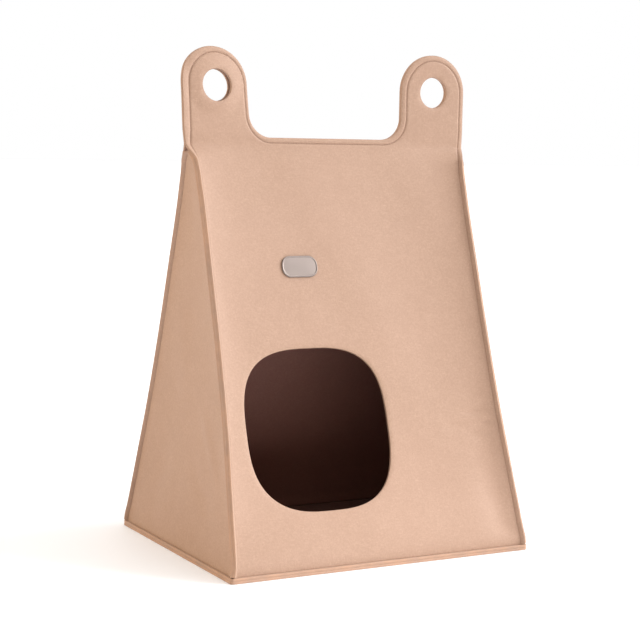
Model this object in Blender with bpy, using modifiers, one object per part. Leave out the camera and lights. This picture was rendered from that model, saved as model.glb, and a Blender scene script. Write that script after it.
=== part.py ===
"""Felt cat cave: a tapered house of thick felt, sewn with its raw edges outward.

Metres, +Z up, the doorway faces -Y. The origin is the middle of the underside of the base.

Two tall panels lean together and are sewn to each other along a top edge with two ears. A tapered
gusset closes each side below that edge, and a flat base closes the bottom. Every piece of felt is
cut flat, in its own two coordinates, across and up, and a function then places each point of it.
"""

import math

import bmesh
import bpy
import numpy as np
from mathutils import Vector
from mathutils.geometry import delaunay_2d_cdt

# Felt and seams
FELT = 0.003                        # thickness of every piece of felt
LAYER_GAP = 0.0005                  # air between two layers that are sewn together
LAYER_STEP = FELT + LAYER_GAP       # from the middle of one layer to the middle of the next
ALLOWANCE = 0.007                   # raw edge outside each seam
BASE_ALLOWANCE = 0.005              # and outside the seam around the base
CORNER_TURN = math.radians(45)      # the allowances at the four corners point half way outward

# House
BASE_WIDTH = 0.3865
BASE_DEPTH = 0.3125
BASE_CORNER = 0.008                 # radius of the base's corners
CREASE_HEIGHT = FELT + LAYER_GAP + FELT / 2     # middle of the allowances that lie on the base
FOOT_HEIGHT = 0.016                 # up to here the panels stand straight up
WALL_SLOPE = 0.3163                 # lean of the panels for each unit of height
SHOULDER_HEIGHT = 0.452             # from here the panels turn in to the top seam
RIDGE_HEIGHT = 0.4705               # from here up the two panels lie against each other
TOP_EDGE = 0.4785                   # raw edge between the ears
FLANGE_START = 0.0085               # foot of the corner allowances, clear of those on the base
SHOULDER_STEPS = 4
STEPS_ABOVE_GUSSET = 3              # shoulder steps that the gussets leave open under the ridge
GUSSET_EASE_START = 0.430           # from here up a gusset draws in from the panels
GUSSET_EASE = 0.004                 # by this much at the ridge

# Half of the width at the corner seams, by height
CORNER_SEAM = (
    # height, half width
    (CREASE_HEIGHT, BASE_WIDTH / 2 - BASE_ALLOWANCE - LAYER_STEP / 2 * math.sin(CORNER_TURN)),
    (0.020, 0.1850),
    (0.060, 0.1822),
    (0.100, 0.1799),
    (0.155, 0.1768),
    (0.240, 0.1741),
    (0.330, 0.1731),
    (0.420, 0.1729),
    (0.447, 0.1740),
    (0.460, 0.1760),
    (RIDGE_HEIGHT, 0.1785),
)

# The middle of each wall hangs in a little between its stiff corners
PANEL_HOLLOW = 0.005
GUSSET_HOLLOW = 0.003
HOLLOW_REACH = 0.030                # distance from a corner over which a wall curves
HOLLOW_FOOT = 0.120                 # above this height the hollow is full
HOLLOW_TOP = 0.400                  # above this height the walls run out to the ridge

# Ears, which are a little unlike
EAR_TOP = 0.581
EAR_FILLET = 0.026                  # radius between an ear and the top edge
EAR_INNER_EDGE = {-1: 0.1025, 1: 0.0977}        # distance of the inner edge from the middle
EAR_HOLE = 0.0185                   # radius of the hole in each ear
LEFT_LEAN = math.radians(8.5)       # the left ear leans back
LEFT_TWIST = math.radians(4.0)      # and turns its inner edge back
LEFT_PUFF = 0.004                   # and its two layers stand apart in the middle

# Doorway, left of the middle
DOOR_MIDDLE = -0.0624
DOOR_HEIGHT = 0.1532                # height of its centre
DOOR_HALF_WIDTH = 0.0900
DOOR_HALF_RISE = 0.0887
DOOR_SQUARENESS = 3.0               # 2 is an ellipse, larger is squarer

# Badge, a blank metal plate above the doorway
BADGE_MIDDLE = -0.0616
BADGE_HEIGHT = 0.3318
BADGE_WIDTH = 0.0470
BADGE_RISE = 0.0252
BADGE_CORNER = 0.0112
BADGE_THICKNESS = 0.0018
BADGE_EDGE = 0.0004                 # softened edge of the plate
BADGE_SEAT = 0.0004                 # gap to the felt

# Fineness of the cut pieces
GRID = 0.027                        # spacing of the free points of a wall
EAR_GRID = 0.013                    # and of an ear
SEAM_STEP = 0.023                   # spacing along the seams
ARC_STEP = math.radians(15)         # spacing along round edges
DOOR_STEPS = 40
HOLE_STEPS = 20
ROOM = 0.007                        # free points stay this far from every cut and crease
WELD = 1e-6
SLIVER = 1e-8                       # a flat triangle smaller than this is left out

# Colours, linear
FELT_COLOUR = (0.70, 0.46, 0.33, 1.0)
METAL_COLOUR = (0.74, 0.70, 0.69, 1.0)


# Shape of the house ----------------------------------------------------------------------------

def between(value, low, high):
    """Rise smoothly from 0 at low to 1 at high."""
    share = min(max((value - low) / (high - low), 0.0), 1.0)
    return share * share * (3 - 2 * share)


def half_width(height):
    """Half of the width at the corner seams."""
    heights, widths = zip(*CORNER_SEAM)
    return float(np.interp(height, heights, widths))


def straight_depth(height):
    """Half of the depth at the corner seams if the walls leaned straight on."""
    foot = BASE_DEPTH / 2 - BASE_ALLOWANCE - LAYER_STEP / 2 * math.cos(CORNER_TURN)
    return foot - WALL_SLOPE * max(height - FOOT_HEIGHT, 0.0)


def half_depth(height):
    """Half of the depth at the corner seams, which close over the shoulder."""
    return straight_depth(height) * (1 - between(height, SHOULDER_HEIGHT, RIDGE_HEIGHT))


def middle_depth(height):
    """Distance from the ridge's plane to the middle of a panel, which runs straight to the ridge."""
    if height > HOLLOW_TOP:
        share = min((height - HOLLOW_TOP) / (RIDGE_HEIGHT - HOLLOW_TOP), 1.0)
        return middle_depth(HOLLOW_TOP) * (1 - share) + LAYER_STEP / 2 * share
    sunk = PANEL_HOLLOW * between(height, CREASE_HEIGHT, HOLLOW_FOOT)
    return straight_depth(height) + LAYER_STEP / 2 * math.cos(CORNER_TURN) - sunk


def corner_turn(height):
    """Angle between the corner allowances and the panels' plane."""
    return CORNER_TURN * (1 - between(height, SHOULDER_HEIGHT, RIDGE_HEIGHT))


def panel_crease(height):
    """Distance from the middle at which a panel's corner allowance starts."""
    return half_width(height) - LAYER_STEP / 2 * math.sin(corner_turn(height))


def gusset_crease(height):
    """Distance from the middle at which a gusset's corner allowance starts."""
    ease = GUSSET_EASE * between(height, GUSSET_EASE_START, RIDGE_HEIGHT)
    return half_depth(height) - LAYER_STEP / 2 * math.cos(corner_turn(height)) - ease


def inwardness(across, crease):
    """0 at the creases of a wall, and nearly 1 in the middle between them."""
    return 1 - math.exp(-max(crease - abs(across), 0.0) / HOLLOW_REACH)


def ear(side):
    """Middle, radius and centre height of an ear's round head."""
    outer = half_width(RIDGE_HEIGHT) + ALLOWANCE
    inner = EAR_INNER_EDGE[side]
    radius = (outer - inner) / 2
    return side * (outer + inner) / 2, radius, EAR_TOP - radius


def left_ear_shift(face, across, up):
    """How far back the left ear's lean, twist and puff carry a point of its cut."""
    middle, radius, centre = ear(-1)
    share = between(-across, -middle - radius - EAR_FILLET, -middle - radius)
    rise = max(up - TOP_EDGE, 0.0)
    lean = rise * math.tan(LEFT_LEAN)
    twist = (across - middle) * math.tan(LEFT_TWIST) * between(up, TOP_EDGE, centre)
    off_centre = math.hypot(across - middle, up - centre) / (radius - ALLOWANCE)
    puff = face * LEFT_PUFF * max(1 - off_centre * off_centre, 0.0)
    return (lean + twist + puff) * share


def place_panel(face, across, up):
    """Place a point of a panel's cut. The front has face -1 and the back 1."""
    if up < CREASE_HEIGHT:
        reach = place_panel(face, across, CREASE_HEIGHT)
        return Vector((across, reach.y + face * (CREASE_HEIGHT - up), CREASE_HEIGHT))
    side = math.copysign(1, across)
    turn = corner_turn(up)
    crease = panel_crease(up)
    over = max(abs(across) - crease, 0.0)
    corner = half_depth(up) + LAYER_STEP / 2 * math.cos(turn)
    depth = corner + (middle_depth(up) - corner) * inwardness(across, crease)
    depth += over * math.sin(turn)
    x = side * (min(abs(across), crease) + over * math.cos(turn))
    return Vector((x, face * depth + left_ear_shift(face, across, up), up))


def place_gusset(side, across, up):
    """Place a point of a gusset's cut. The left one has side -1 and the right one 1."""
    if up < CREASE_HEIGHT:
        reach = place_gusset(side, across, CREASE_HEIGHT)
        return Vector((reach.x + side * (CREASE_HEIGHT - up), across, CREASE_HEIGHT))
    turn = corner_turn(up)
    crease = gusset_crease(up)
    over = max(abs(across) - crease, 0.0)
    sunk = GUSSET_HOLLOW * between(up, CREASE_HEIGHT, HOLLOW_FOOT)
    sunk *= 1 - between(up, HOLLOW_TOP, RIDGE_HEIGHT)
    x = half_width(up) + LAYER_STEP / 2 * math.sin(turn)
    x += over * math.cos(turn) - sunk * inwardness(across, crease)
    y = math.copysign(min(abs(across), crease) + over * math.sin(turn), across)
    return Vector((side * x, y, up))


# Outlines of the cut pieces --------------------------------------------------------------------

def seam_heights():
    """Heights of the points along the corner seams, from the allowances' foot to the ridge."""
    count = round((SHOULDER_HEIGHT - FLANGE_START) / SEAM_STEP)
    wall = np.linspace(FLANGE_START, SHOULDER_HEIGHT, count, endpoint=False)
    shoulder = np.linspace(SHOULDER_HEIGHT, RIDGE_HEIGHT, SHOULDER_STEPS + 1)
    return [float(height) for height in (*wall, *shoulder)]


def arc(centre, radius, start, end):
    """Points of a round edge, with both ends."""
    count = max(2, round(abs(end - start) / ARC_STEP)) + 1
    return [
        (centre[0] + radius * math.cos(angle), centre[1] + radius * math.sin(angle))
        for angle in np.linspace(start, end, count)
    ]


def mirrored(points):
    """The same points on the other side of the middle, in the opposite order."""
    return [(-across, up) for across, up in reversed(points)]


def subdivided(start, end, step):
    """Points of a straight edge, without its ends."""
    count = max(1, round(math.dist(start, end) / step))
    return [
        (start[0] + (end[0] - start[0]) * n / count, start[1] + (end[1] - start[1]) * n / count)
        for n in range(1, count)
    ]


def foot_corner(crease):
    """Right end of the allowance on the base, from its outer edge up to the corner crease."""
    radius = BASE_ALLOWANCE / 2
    low = CREASE_HEIGHT - BASE_ALLOWANCE
    return arc((crease - radius, low + radius), radius, -math.pi / 2, 0) + [(crease, CREASE_HEIGHT)]


def corner_edge(crease_at, heights):
    """Raw edge of a corner allowance, upwards."""
    edge = [(crease_at(heights[0]), heights[0])]
    edge.append((crease_at(heights[0]) + ALLOWANCE, heights[0] + ALLOWANCE / 5))
    return edge + [(crease_at(height) + ALLOWANCE, height) for height in heights[1:]]


def ear_edge(side):
    """Raw edge of the right ear's shape, from its outer side to the top edge."""
    middle, radius, centre = ear(side)
    middle = abs(middle)
    outer = (middle + radius, RIDGE_HEIGHT)
    head = arc((middle, centre), radius, 0, math.pi)
    fillet_centre = (middle - radius - EAR_FILLET, TOP_EDGE + EAR_FILLET)
    fillet = arc(fillet_centre, EAR_FILLET, 0, -math.pi / 2)
    return [
        *subdivided(outer, head[0], GRID),
        *head,
        *subdivided(head[-1], fillet[0], GRID),
        *fillet,
    ]


def panel_outline():
    """Raw edge of a panel, once around."""
    heights = seam_heights()
    right_foot = foot_corner(panel_crease(CREASE_HEIGHT))
    right_side = right_foot + corner_edge(panel_crease, heights)
    left_side = mirrored(right_side)
    right_ear = ear_edge(1)
    left_ear = mirrored(ear_edge(-1))
    return [
        *right_side,
        *right_ear,
        *subdivided(right_ear[-1], left_ear[0], GRID),
        *left_ear,
        *left_side,
        *subdivided(left_side[-1], right_side[0], GRID),
    ]


def gusset_heights():
    """Heights of the points along a gusset's seams."""
    return seam_heights()[:-STEPS_ABOVE_GUSSET]


def gusset_outline():
    """Raw edge of a gusset, once around."""
    right_foot = foot_corner(gusset_crease(CREASE_HEIGHT))
    right_side = right_foot + corner_edge(gusset_crease, gusset_heights())
    left_side = mirrored(right_side)
    return [*right_side, *left_side, *subdivided(left_side[-1], right_side[0], GRID)]


def creases(crease_at, heights):
    """Fold lines of a piece: along the base and up both corners."""
    corner = [(crease_at(height), height) for height in (CREASE_HEIGHT, *heights)]
    foot = [(-corner[0][0], CREASE_HEIGHT), corner[0]]
    foot[1:1] = subdivided(*foot, GRID)
    return [foot, corner, mirrored(corner)]


def doorway():
    """Edge of the doorway."""
    def stretched(value):
        return math.copysign(abs(value) ** (2 / DOOR_SQUARENESS), value)

    return [
        (
            DOOR_MIDDLE + DOOR_HALF_WIDTH * stretched(math.cos(angle)),
            DOOR_HEIGHT + DOOR_HALF_RISE * stretched(math.sin(angle)),
        )
        for angle in np.linspace(0, math.tau, DOOR_STEPS, endpoint=False)
    ]


def ear_hole(side):
    """Edge of the hole in an ear."""
    middle, _, centre = ear(side)
    return [
        (middle + EAR_HOLE * math.cos(angle), centre + EAR_HOLE * math.sin(angle))
        for angle in np.linspace(0, math.tau, HOLE_STEPS, endpoint=False)
    ]


def wall_points(crease_at, heights):
    """Free points of a wall, in rows at the seams' heights."""
    points = []
    for height in heights:
        crease = crease_at(height)
        count = max(1, round(2 * crease / GRID))
        points += [(float(across), height) for across in np.linspace(-crease, crease, count + 1)]
    return points


def ear_points(side):
    """Free points of an ear, in rings around its hole."""
    middle, radius, centre = ear(side)
    ring = (EAR_HOLE + radius) / 2
    points = []
    for angle in np.linspace(0, math.tau, round(math.tau * ring / EAR_GRID), endpoint=False):
        points.append((middle + ring * math.cos(angle), centre + ring * math.sin(angle)))
    for height in np.arange(TOP_EDGE, centre - ring, EAR_GRID):
        points += [(middle + shift * radius, float(height)) for shift in (-0.5, 0.0, 0.5)]
    return points


# Meshes ----------------------------------------------------------------------------------------

def is_inside(point, loop):
    """Whether a point lies inside a closed loop."""
    x, y = point
    inside = False
    for (ax, ay), (bx, by) in zip(loop, loop[1:] + loop[:1]):
        if (ay > y) != (by > y) and x < ax + (y - ay) * (bx - ax) / (by - ay):
            inside = not inside
    return inside


def distance(point, start, end):
    """Distance of a point from a straight line between two others."""
    along = np.subtract(end, start)
    share = np.dot(np.subtract(point, start), along) / np.dot(along, along)
    return math.dist(point, np.add(start, along * min(max(share, 0.0), 1.0)))


def cut_and_place(name, loops, folds, free_points, place):
    """Cut a piece of felt flat, with its folds and openings, and place every point of it."""
    outline, *openings = loops
    lines = [[*loop, loop[0]] for loop in loops] + folds
    points = []
    edges = []
    for line in lines:
        first = len(points)
        points += line
        edges += [(n, n + 1) for n in range(first, len(points) - 1)]
    segments = [(points[a], points[b]) for a, b in edges]
    points += [
        point for point in free_points
        if is_inside(point, outline) and all(distance(point, *line) > ROOM for line in segments)
    ]
    flat = [Vector(point) for point in points]
    corners, _, triangles, *_ = delaunay_2d_cdt(flat, edges, [], 0, WELD)

    mesh = bmesh.new()
    verts = [mesh.verts.new(place(*corner)) for corner in corners]
    for triangle in triangles:
        a, b, c = (corners[n] for n in triangle)
        middle = (a + b + c) / 3
        if (b - a).cross(c - a) < SLIVER or not is_inside(middle, outline):
            continue
        if not any(is_inside(middle, loop) for loop in openings):
            mesh.faces.new([verts[n] for n in triangle])
    bmesh.ops.delete(mesh, geom=[v for v in mesh.verts if not v.link_faces], context="VERTS")
    data = bpy.data.meshes.new(name)
    mesh.to_mesh(data)
    mesh.free()
    return data


def felt_piece(name, data, material, collection):
    """Give a placed cut the thickness of the felt."""
    piece = bpy.data.objects.new(name, data)
    collection.objects.link(piece)
    thickness = piece.modifiers.new("felt", "SOLIDIFY")
    thickness.thickness = FELT
    thickness.offset = 0.0
    thickness.use_even_offset = True
    thickness.use_quality_normals = True
    data.materials.append(material)
    return piece


def make_panel(name, face, openings, material, collection):
    """Front or back panel, with both ears."""
    heights = seam_heights()
    free = wall_points(panel_crease, heights) + ear_points(-1) + ear_points(1)
    data = cut_and_place(
        name,
        [panel_outline(), *openings],
        creases(panel_crease, heights),
        free,
        lambda across, up: place_panel(face, across, up),
    )
    return felt_piece(name, data, material, collection)


def make_gusset(name, side, material, collection):
    """Tapered side."""
    heights = gusset_heights()
    data = cut_and_place(
        name,
        [gusset_outline()],
        creases(gusset_crease, heights),
        wall_points(gusset_crease, heights),
        lambda across, up: place_gusset(side, across, up),
    )
    return felt_piece(name, data, material, collection)


def rounded_rectangle(width, height, radius):
    """Corners of a rectangle as arcs, once around."""
    x = width / 2 - radius
    y = height / 2 - radius
    middles = ((x, y), (-x, y), (-x, -y), (x, -y))
    quarter = math.pi / 2
    points = []
    for n, middle in enumerate(middles):
        points += arc(middle, radius, n * quarter, (n + 1) * quarter)
    return points


def make_base(material, collection):
    """Flat base."""
    outline = rounded_rectangle(BASE_WIDTH, BASE_DEPTH, BASE_CORNER)
    data = cut_and_place(
        "base_panel", [outline], [], [], lambda across, up: Vector((across, up, FELT / 2))
    )
    return felt_piece("base_panel", data, material, collection)


def make_badge(material, collection):
    """Blank plate, flat on the front panel's face."""
    curve = bpy.data.curves.new("badge_plate", "CURVE")
    curve.dimensions = "2D"
    curve.fill_mode = "BOTH"
    curve.extrude = BADGE_THICKNESS / 2 - BADGE_EDGE
    curve.bevel_depth = BADGE_EDGE
    curve.bevel_resolution = 1
    curve.offset = -BADGE_EDGE
    outline = rounded_rectangle(BADGE_WIDTH, BADGE_RISE, BADGE_CORNER)
    spline = curve.splines.new("POLY")
    spline.points.add(len(outline) - 1)
    for point, (x, y) in zip(spline.points, outline):
        point.co = (x, y, 0, 1)
    spline.use_cyclic_u = True
    curve.materials.append(material)

    lean = math.atan(WALL_SLOPE)
    outward = Vector((0, -math.cos(lean), math.sin(lean)))
    stand = FELT / 2 + BADGE_SEAT + BADGE_THICKNESS / 2
    badge = bpy.data.objects.new("badge_plate", curve)
    badge.location = place_panel(-1, BADGE_MIDDLE, BADGE_HEIGHT) + outward * stand
    badge.rotation_euler = (math.pi / 2 - lean, 0, 0)
    collection.objects.link(badge)
    return badge


def make_material(name, colour, roughness, metallic):
    """Plain surface."""
    material = bpy.data.materials.new(name)
    material.use_nodes = True
    surface = material.node_tree.nodes["Principled BSDF"]
    surface.inputs["Base Color"].default_value = colour
    surface.inputs["Roughness"].default_value = roughness
    surface.inputs["Metallic"].default_value = metallic
    return material


def main():
    """Build the whole cave."""
    for leftover in list(bpy.data.objects):
        bpy.data.objects.remove(leftover)
    collection = bpy.data.collections.new("felt_cat_cave")
    bpy.context.scene.collection.children.link(collection)
    felt = make_material("beige_felt", FELT_COLOUR, 0.95, 0.0)
    metal = make_material("brushed_plate", METAL_COLOUR, 0.35, 1.0)

    holes = [ear_hole(-1), ear_hole(1)]
    make_panel("front_panel", -1, [doorway(), *holes], felt, collection)
    make_panel("back_panel", 1, holes, felt, collection)
    make_gusset("gusset_left", -1, felt, collection)
    make_gusset("gusset_right", 1, felt, collection)
    make_base(felt, collection)
    make_badge(metal, collection)


main()
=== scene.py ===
"""Looks of a felt cat cave: thick felt sewn with its raw edges outward, and a blank metal badge.

Metres, +Z up, the doorway faces -Y, the origin is the middle of the underside of the base. Each
piece of felt is cut flat, in its own two coordinates, across and up. A function places each point
of the cut, and the piece then gets its thickness, its rounded raw edges and its stitched grooves.
"""

import math

import bmesh
import bpy
import numpy as np
from mathutils import Matrix, Vector
from mathutils.geometry import delaunay_2d_cdt


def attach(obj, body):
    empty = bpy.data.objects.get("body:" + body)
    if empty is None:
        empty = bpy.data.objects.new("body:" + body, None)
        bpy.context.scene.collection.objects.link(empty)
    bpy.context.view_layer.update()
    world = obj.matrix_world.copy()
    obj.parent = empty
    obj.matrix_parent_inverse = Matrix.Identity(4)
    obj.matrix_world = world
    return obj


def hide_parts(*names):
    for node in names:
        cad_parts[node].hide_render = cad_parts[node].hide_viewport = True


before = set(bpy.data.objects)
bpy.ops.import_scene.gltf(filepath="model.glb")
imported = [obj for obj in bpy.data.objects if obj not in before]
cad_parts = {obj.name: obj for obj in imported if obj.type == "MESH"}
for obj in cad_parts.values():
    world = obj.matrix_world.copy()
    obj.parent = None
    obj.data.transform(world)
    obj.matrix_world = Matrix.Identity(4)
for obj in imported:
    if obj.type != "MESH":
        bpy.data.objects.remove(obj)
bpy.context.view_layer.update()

# Felt and seams
FELT = 0.003                        # thickness of every piece of felt
LAYER_GAP = 0.0005                  # air between two layers that are sewn together
LAYER_STEP = FELT + LAYER_GAP       # from the middle of one layer to the middle of the next
ALLOWANCE = 0.007                   # raw edge outside each seam
BASE_ALLOWANCE = 0.005              # and outside the seam around the base
CORNER_TURN = math.radians(45)      # the allowances at the four corners point half way outward
CORNER_FORWARD = math.radians(7)    # and further up a little more to the front or the back
FORWARD_LOW = 0.050                 # which starts at this height
FORWARD_HIGH = 0.160                # and is full at this one
SEAM_INSET = 0.0058                 # from a raw edge to its stitches
SEAM_DRIFT = (0.0018, -0.0009)      # along the top the stitches drift this far across and up
LEFT_EAR_DRIFT = 0.0021             # and further across on the outer side of the left ear
BASE_SEAM_INSET = 0.004             # and around the base
FOLD = 0.0025                       # half of the width over which felt bends at a fold

# House
BASE_WIDTH = 0.3865
BASE_DEPTH = 0.3125
BASE_CORNER = 0.004                 # radius of the base's corners
MITRE_START = 0.0029                # the allowances on the base meet at the corners, this far out
MITRE_DROP = 0.0003                 # and this far below the crease
MITRE_DRAW = 0.0006                 # above it they draw in a little
MITRE_GAP = 0.0002
CREASE_HEIGHT = FELT + LAYER_GAP + FELT / 2     # middle of the allowances that lie on the base
FOOT_HEIGHT = 0.016                 # up to here the panels stand straight up
WALL_SLOPE = 0.3163                 # lean of the panels for each unit of height
SHOULDER_HEIGHT = 0.452             # from here the corners turn in to the top seam
RIDGE_HEIGHT = 0.4705               # from here up the two panels lie against each other
TOP_EDGE = 0.4785                   # raw edge between the ears
FLANGE_START = 0.0067               # foot of the corner allowances, just above those on the base
FLANGE_HEEL = 0.0036                # the foot starts this far out
FLANGE_CHAMFER = 0.0012             # and its outer corner is cut off
FLANGE_LIFT = 0.0005                # the bend at the corners starts this far below the crease
GUSSET_TOP = 0.4638                 # the gussets end in a narrow fold under the ridge
GUSSET_TAPER = 0.0035               # and their allowances are cut off slantwise there
GUSSET_EASE_START = 0.440           # from here up a gusset draws in from the panels
GUSSET_EASE = 0.0012                # by this much at its top

# Half of the width at the corner seams, by height
CORNER_SEAM = (
    # height, half width
    (CREASE_HEIGHT, BASE_WIDTH / 2 - BASE_ALLOWANCE - LAYER_STEP / 2 * math.sin(CORNER_TURN)),
    (0.020, 0.1850),
    (0.060, 0.1822),
    (0.100, 0.1799),
    (0.155, 0.1768),
    (0.240, 0.1741),
    (0.330, 0.1731),
    (0.420, 0.1729),
    (0.447, 0.1740),
    (0.460, 0.1760),
    (RIDGE_HEIGHT, 0.1785),
)

# The middle of each wall hangs in a little between its stiff corners
PANEL_HOLLOW = 0.0085
GUSSET_HOLLOW = 0.003
HOLLOW_REACH = 0.028                # distance from a corner over which a wall curves
HOLLOW_FOOT = 0.120                 # above this height the hollow is full
HOLLOW_TOP = 0.400                  # above this height the walls run out to the ridge
RIDGE_ROUNDING = 0.0012             # softness of the bend where the walls meet the ears

# Ears, which are a little unlike
EAR_TOP = 0.581
EAR_FILLET = 0.026                  # radius between an ear and the top edge
EAR_INNER_EDGE = {-1: 0.1025, 1: 0.0977}        # distance of the inner edge from the middle
EAR_SPREAD = {-1: 0.0024, 1: 0.0007}            # the ears reach out past the shoulders
EAR_SPREAD_HEIGHT = 0.012           # over this height above the ridge
EAR_HOLE = 0.0183                   # radius of the hole in each ear
HOLE_SHIFT = {-1: (0.0020, -0.0014), 1: (0.0005, -0.0006)}      # from the middle of its round head
LEFT_LEAN = math.radians(8.5)       # the left ear leans back
LEFT_TWIST = math.radians(4.0)      # and turns its inner edge back
LEFT_PUFF = 0.004                   # and its two layers stand apart in the middle
LEFT_EDGE_TURN = math.radians(20)   # its outer allowance still turns forward at the ridge
EDGE_TURN_LOW = 0.545               # and this turn fades between these heights
EDGE_TURN_HIGH = 0.579
SHOULDER_POWER = 1.6                # the corners close abruptly at the ridge

# Doorway, left of the middle
DOOR_MIDDLE = -0.0608
DOOR_HEIGHT = 0.1525                # height of its centre
DOOR_HALF_WIDTH = 0.0914
DOOR_HALF_RISE = 0.0880
DOOR_SQUARENESS = 3.0               # 2 is an ellipse, larger is squarer
DOOR_LOW_LEFT = 2.70                # squareness of its low left corner

# Badge, a blank metal plate above the doorway
BADGE_MIDDLE = -0.0589
BADGE_HEIGHT = 0.3312
BADGE_WIDTH = 0.0460
BADGE_RISE = 0.0252
BADGE_CORNER = 0.0112
BADGE_SEAT = 0.0004                 # gap to the felt
BADGE_SHARP = math.radians(50)      # bends above this angle look sharp
BADGE_PROFILE = (
    # inset from the outline, height above the seat
    (0.0004, 0.0000),
    (0.0000, 0.0003),
    (0.0000, 0.0011),
    (0.0002, 0.0014),
    (0.0010, 0.0018),
    (0.0013, 0.0018),
    (0.0016, 0.0015),
    (0.0019, 0.0013),
    (0.0024, 0.0013),
    (0.0060, 0.0014),
)

# Relief of the felt along raw edges and seams
RIM_ROUNDING = 0.0006               # radius of the raw edges
INNER_ROUNDING = 0.00025            # where a raw edge lies on another layer
SEAM_SLACK = 0.0045                 # more than a seam drifts from its usual place
STRIP_DROP = 0.0008                 # at the raw edge of the ears and the top the felt is thinner
LAYER_CLOSING = 0.00021             # outside a seam each layer swells to meet the other
GROOVE_DEPTH = 0.0009               # the stitches press the felt in
GROOVE_WIDTH = 0.0010
CORNER_PRESS = 0.75                 # the corner seams and the base's seams are pressed less
INSIDE_SHADE_FADE = 0.006                 # from a raw edge the painted shade on the inner faces grows over this distance

# Thread
STITCH_PITCH = 0.0034
STITCH_LENGTH = 0.0027
STITCH_SIDES = 6
STITCH_PROFILE = (
    # place along the stitch, how full it is there
    (-0.5, 0.0),
    (-0.36, 0.8),
    (0.0, 1.0),
    (0.36, 0.8),
    (0.5, 0.0),
)
STITCH_SUNK = 0.6                   # its ends lie this many radii below the groove
STITCH_THIN = 0.45                  # and are this thin against its middle
THREAD_RADIUS = 0.0003

# Fineness of the cut pieces
GRID = 0.005                        # spacing of the free points of a wall
BASE_GRID = 0.010                   # and of the base
EDGE_STEP = 0.004                   # spacing along edges and seams
SHOULDER_STEP = 0.0015              # and where the corners close
ARC_STEP = math.radians(6)          # spacing along round edges
FOOT_ARC_STEP = math.radians(9)     # at the ends of the allowances on the base
BASE_ARC_STEP = math.radians(15)    # at the corners of the base
BADGE_ARC_STEP = math.radians(7.5)
DOOR_STEPS = 144
HOLE_STEPS = 48
RIM_ROWS = (0.00015, 0.0005)        # rows of points inside every raw edge
SEAM_ROWS = (-0.0028, -0.0014, -0.0006, 0.0, 0.0006, 0.0014, 0.0026, 0.0044)  # and beside a seam
BASE_SEAM_ROWS = (-0.0014, -0.0006, 0.0, 0.0006, 0.0014, 0.0026)
FOOT_ROW_END = 0.0012               # the rows of a foot run this far past the crease
ROOM = 0.0028                       # free points stay this far from every row
MITRE_LIMIT = 0.5                   # keeps inset corners from running far out
FAR = 1.0                           # farther than any point is from a path
WELD = 1e-6                         # points closer than this become one
SLIVER = 1e-12                      # smallest area of a triangle
TINY = 1e-18                        # smallest square that is divided by
PROBE = 0.0003                      # half of the step over which a surface's slope is taken
LENGTH_STEPS = 400                  # points along which a length is measured

# Soft folds in the felt, which stand out where they are positive
FOLDS_FADE = 0.014                  # they fade over this distance from a corner
FOLDS_START = 0.030                 # and below this height
FRONT_FOLDS = (
    # across, up, length, width, height, tilt in degrees
    (0.160, 0.1575, 0.046, 0.0020, -0.0018, 1),
    (0.160, 0.1525, 0.046, 0.0030, 0.0011, 1),
    (0.121, 0.1440, 0.026, 0.0018, -0.0011, 0),
    (0.168, 0.1437, 0.026, 0.0018, -0.0016, 1),
    (0.166, 0.1390, 0.030, 0.0028, 0.0009, 1),
    (0.171, 0.2493, 0.018, 0.0018, -0.0010, 0),
    (0.169, 0.2167, 0.020, 0.0018, -0.0010, 0),
    (0.148, 0.1320, 0.026, 0.0028, -0.0005, -18),
    (0.135, 0.0375, 0.016, 0.0026, -0.0005, 20),
    (0.160, 0.0950, 0.200, 0.0200, -0.0012, 94),
    (0.160, 0.0400, 0.080, 0.0180, -0.0016, 98),
    (0.020, 0.0400, 0.300, 0.0240, 0.0016, 0),
    (0.085, 0.2700, 0.300, 0.0450, -0.0012, 96),
    (-0.171, 0.4715, 0.022, 0.0014, -0.0009, -3),
    (-0.168, 0.4660, 0.026, 0.0034, 0.0008, -3),
)
LEFT_FOLDS = (
    (-0.066, 0.1300, 0.090, 0.0085, 0.0010, 58),
    (-0.050, 0.0800, 0.080, 0.0140, -0.0010, 40),
    (0.020, 0.2300, 0.120, 0.0200, 0.0008, 80),
    (0.070, 0.0700, 0.120, 0.0200, -0.0008, 110),
)
RIGHT_FOLDS = (
    (0.050, 0.1200, 0.100, 0.0100, 0.0009, 55),
    (-0.060, 0.0700, 0.090, 0.0160, -0.0010, 130),
    (0.000, 0.2600, 0.120, 0.0200, -0.0008, 95),
)
BACK_FOLDS = (
    (-0.150, 0.1600, 0.050, 0.0030, -0.0010, 3),
    (-0.150, 0.1530, 0.050, 0.0034, 0.0005, 3),
    (0.156, 0.2100, 0.036, 0.0028, -0.0008, -5),
    (0.000, 0.0500, 0.280, 0.0260, 0.0016, 0),
    (0.060, 0.3000, 0.220, 0.0320, -0.0014, 60),
    (-0.080, 0.3800, 0.180, 0.0300, 0.0010, -20),
)
WAVES = (
    # height, waves for each metre across and up, phase
    (0.00025, 7.1, 3.3, 0.4),
    (0.00020, -4.7, 8.9, 2.1),
    (0.00012, 13.0, 6.1, 1.3),
)

# Camera, fitted to the outline of the object
CAMERA_PLACE = Vector((-0.9506, -1.7461, 0.47481))
CAMERA_YAW = math.radians(28.40066)
CAMERA_PITCH = math.radians(6.06654)
CAMERA_ROLL = math.radians(1.04416)
CAMERA_LENS = 94.33

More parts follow.
